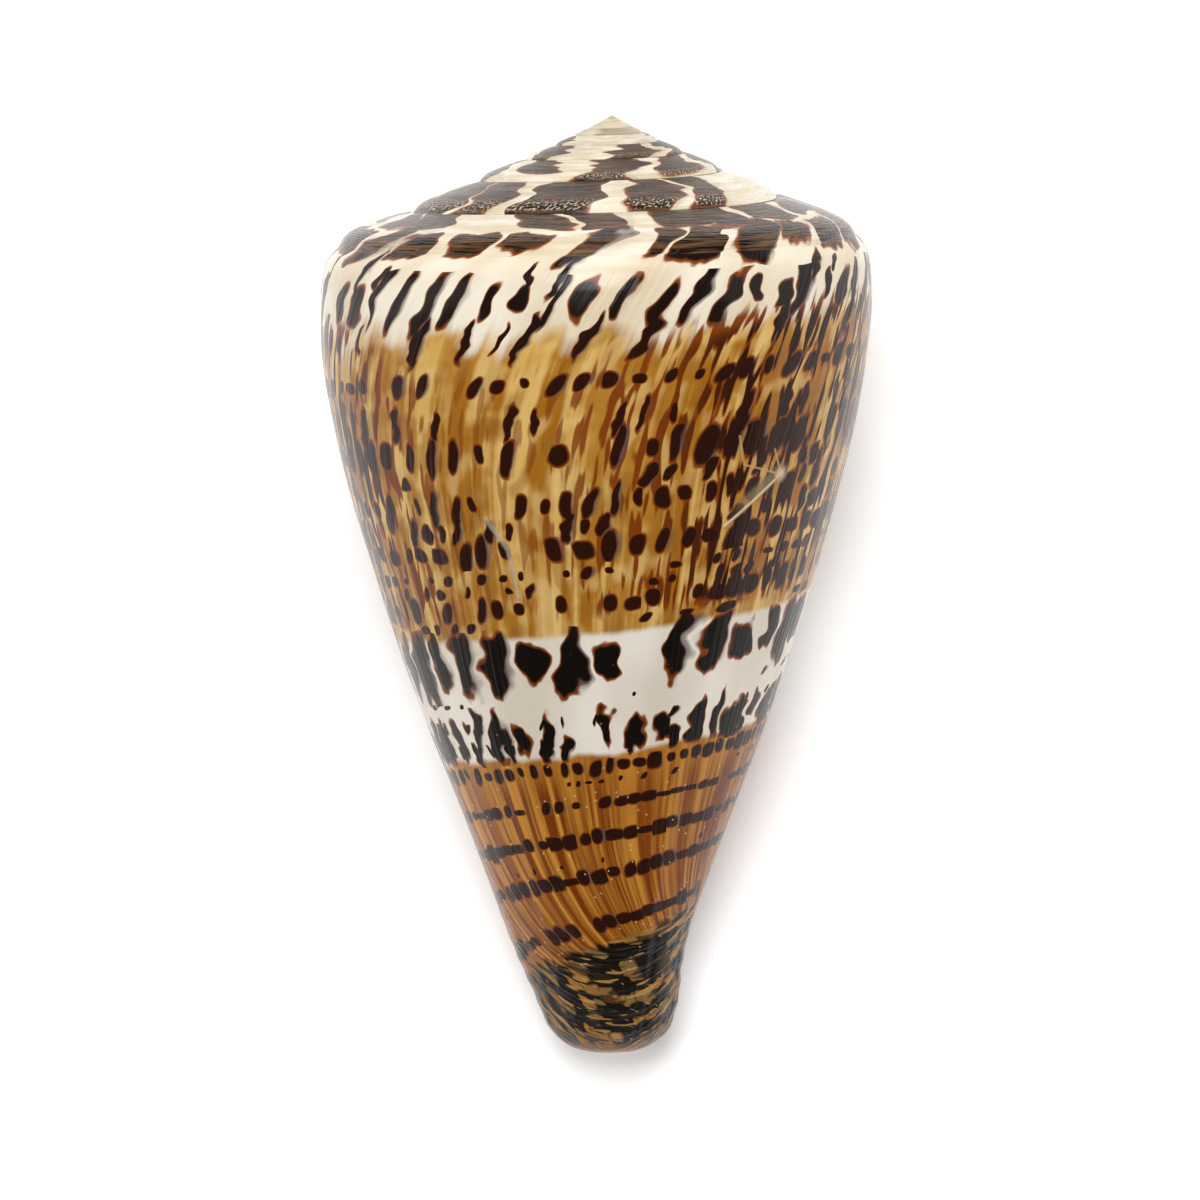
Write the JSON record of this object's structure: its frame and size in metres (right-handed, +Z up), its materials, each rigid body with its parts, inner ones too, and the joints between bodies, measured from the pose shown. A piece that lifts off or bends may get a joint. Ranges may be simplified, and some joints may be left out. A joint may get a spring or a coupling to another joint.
{
  "type": "cone shell",
  "caption": "Cone shell: low stepped spire, broad rounded shoulder, body whorl tapering to a narrow siphonal end, long narrow mouth underneath; lies mouth down.",
  "frame": {"origin": "centre of the bounding box at its underside, which is the floor the shell lies on", "axes": "+Z up, +Y towards the apex along the shell's length, +X to the right of the shell's back seen with the apex away from the viewer; the mouth faces the floor"},
  "size_m": [0.0422, 0.0696, 0.0398],
  "materials": {
    "shell": "gloss"
  },
  "bodies": {
    "root": {"shell": "shell"}
  },
  "joints": []
}
